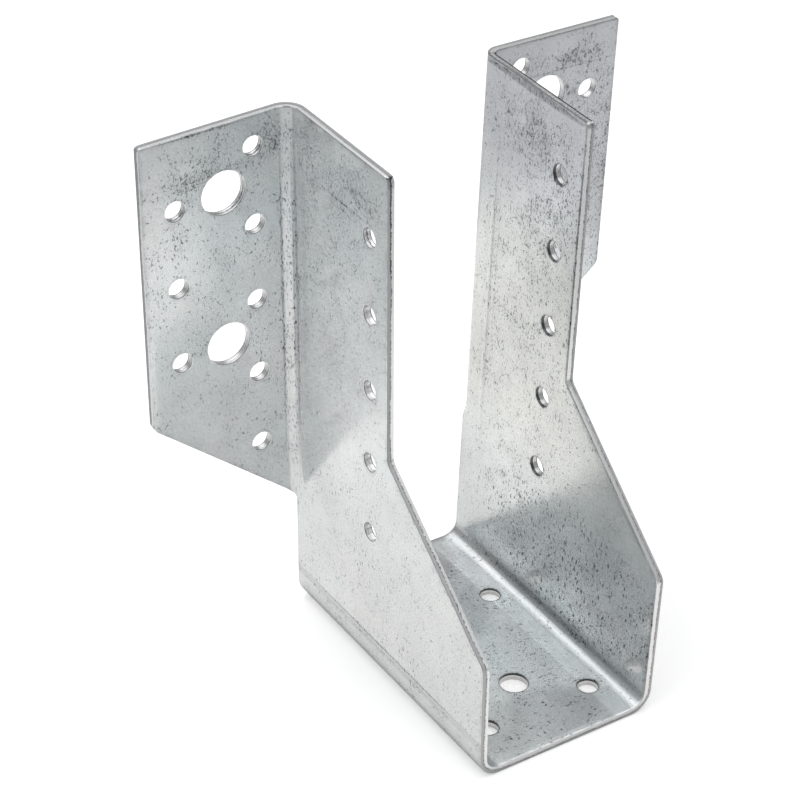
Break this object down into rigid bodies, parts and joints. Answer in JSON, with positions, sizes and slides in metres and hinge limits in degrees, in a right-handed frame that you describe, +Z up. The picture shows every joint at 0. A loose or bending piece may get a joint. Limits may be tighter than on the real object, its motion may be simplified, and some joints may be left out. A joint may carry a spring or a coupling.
{
  "type": "joist hanger",
  "caption": "Folded sheet-steel joist hanger: an open channel with a slanted front, its rear edges turned out as punched nailing flanges that carry a timber joist on a header.",
  "frame": {"origin": "on the underside of the floor, below the middle of the joist seat", "axes": "+X across the joist towards the right flange, +Y back to the header, +Z up along the walls"},
  "size_m": [0.1285, 0.0805, 0.1395],
  "materials": {
    "galvanised_steel": "satin"
  },
  "bodies": {
    "root": {"hanger_sheet": "galvanised_steel"}
  },
  "joints": []
}
